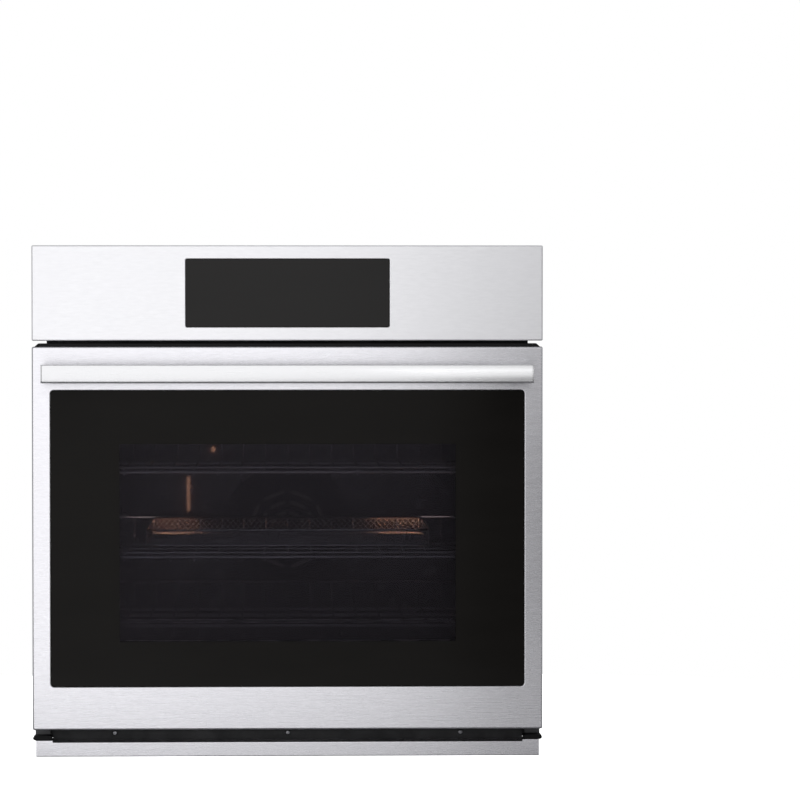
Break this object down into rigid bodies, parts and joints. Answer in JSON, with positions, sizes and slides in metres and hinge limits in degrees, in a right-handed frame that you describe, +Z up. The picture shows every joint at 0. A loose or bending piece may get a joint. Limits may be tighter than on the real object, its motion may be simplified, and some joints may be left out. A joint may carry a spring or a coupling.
{
  "type": "wall oven",
  "caption": "Built-in electric wall oven with a drop-down glazed door, full-width bar handle, touch control panel, convection fan, wire racks and a mesh basket.",
  "frame": {"origin": "centre of the body's underside, the face that rests on the shelf of the cabinet's cut-out", "axes": "+Z up, the door faces -Y, +X is to the right of someone facing the door"},
  "size_m": [0.756, 0.678, 0.7584],
  "materials": {
    "stainless": "fine brushed grain",
    "handle_metal": "satin",
    "black_glass": "gloss, printed black on the back",
    "window_glass": "clear, tinted",
    "lamp_glass": "clear, frosted inside",
    "cavity_enamel": "glossy vitreous enamel",
    "black_enamel": "satin enamel",
    "galvanised": "spangled zinc",
    "plated_steel": "bright zinc plate",
    "chrome_wire": "polished",
    "basket_mesh": "woven and pressed",
    "heater_sheath": "heat-browned",
    "fan_steel": "rolled",
    "wool": "matted fibre",
    "gasket_braid": "braided glass fibre",
    "black_plastic": "moulded",
    "white_plastic": "moulded",
    "circuit_board": "solder mask",
    "cast_alloy": "die cast"
  },
  "bodies": {
    "oven_body": {"cavity_liner": "cavity_enamel", "front_frame": "black_enamel", "side_flanges": "black_enamel", "side_panels": "galvanised", "top_panel": "galvanised", "rear_panel": "galvanised", "rear_cover": "galvanised", "base_panel": "galvanised", "insulation": "wool", "control_panel": "stainless", "panel_returns": "stainless", "display_glass": "black_glass", "touch_board": "circuit_board", "board_housing": "white_plastic", "component_shelf": "galvanised", "relay_board": "circuit_board", "conduit_gland": "cast_alloy", "air_duct": "galvanised", "blower_motor": "cast_alloy", "latch_unit": "plated_steel", "bottom_trim": "stainless", "base_front": "black_enamel", "corner_bumpers": "black_plastic", "corner_brackets": "black_enamel", "door_gasket": "gasket_braid", "broil_element": "heater_sheath", "bake_element": "heater_sheath", "convection_element": "heater_sheath", "fan_cover": "cavity_enamel", "convection_motor": "cast_alloy", "lamp_housings": "plated_steel", "lamp_bulbs": "lamp_glass", "lamp_lenses": "lamp_glass", "temperature_probe": "plated_steel", "hinge_receivers": "plated_steel", "hinge_arms": "plated_steel", "panel_screws": "plated_steel", "glide_rails": "plated_steel"},
    "door": {"door_skin": "stainless", "outer_glass": "black_glass", "middle_glasses": "window_glass", "inner_glass": "window_glass", "pane_carrier": "plated_steel", "door_liner": "black_enamel", "door_frame": "black_enamel", "door_top_trim": "black_plastic", "handle_bar": "handle_metal", "handle_posts": "handle_metal", "hinge_channels": "plated_steel", "hinge_springs": "plated_steel"},
    "top_rack": {"rack_top": "chrome_wire", "top_fence": "chrome_wire"},
    "middle_rack": {"rack_middle": "chrome_wire", "middle_fence": "chrome_wire"},
    "gliding_rack": {"glide_deck": "chrome_wire", "glide_fence": "chrome_wire"},
    "basket": {"fry_basket": "basket_mesh"},
    "fan": {"convection_fan": "fan_steel"},
    "blower": {"blower_wheel": "black_plastic"},
    "hook": {"latch_hook": "plated_steel"}
  },
  "joints": [
    {"name": "door_hinge", "type": "hinge", "parent": "oven_body", "child": "door", "pos_m": [0, -0.322, 0.0276], "axis": [1, 0, 0], "range_deg": [0, 90]},
    {"name": "top_rack_slide", "type": "slide", "parent": "oven_body", "child": "top_rack", "axis": [0, -1, 0], "range_m": [0, 0.03]},
    {"name": "middle_rack_slide", "type": "slide", "parent": "oven_body", "child": "middle_rack", "axis": [0, -1, 0], "range_m": [0, 0.03]},
    {"name": "gliding_rack_slide", "type": "slide", "parent": "oven_body", "child": "gliding_rack", "axis": [0, -1, 0], "range_m": [0, 0.03]},
    {"name": "basket_lift", "type": "slide", "parent": "middle_rack", "child": "basket", "axis": [0, 0, 1], "range_m": [0, 0.08]},
    {"name": "fan_spin", "type": "hinge", "parent": "oven_body", "child": "fan", "pos_m": [0, 0.16, 0.284], "axis": [0, 1, 0], "continuous": true},
    {"name": "blower_spin", "type": "hinge", "parent": "oven_body", "child": "blower", "pos_m": [0, 0.1, 0.61], "axis": [0, 0, 1], "continuous": true},
    {"name": "latch_swing", "type": "hinge", "parent": "oven_body", "child": "hook", "pos_m": [0, -0.262, 0.5575], "axis": [0, 0, -1], "range_deg": [0, 75]}
  ]
}
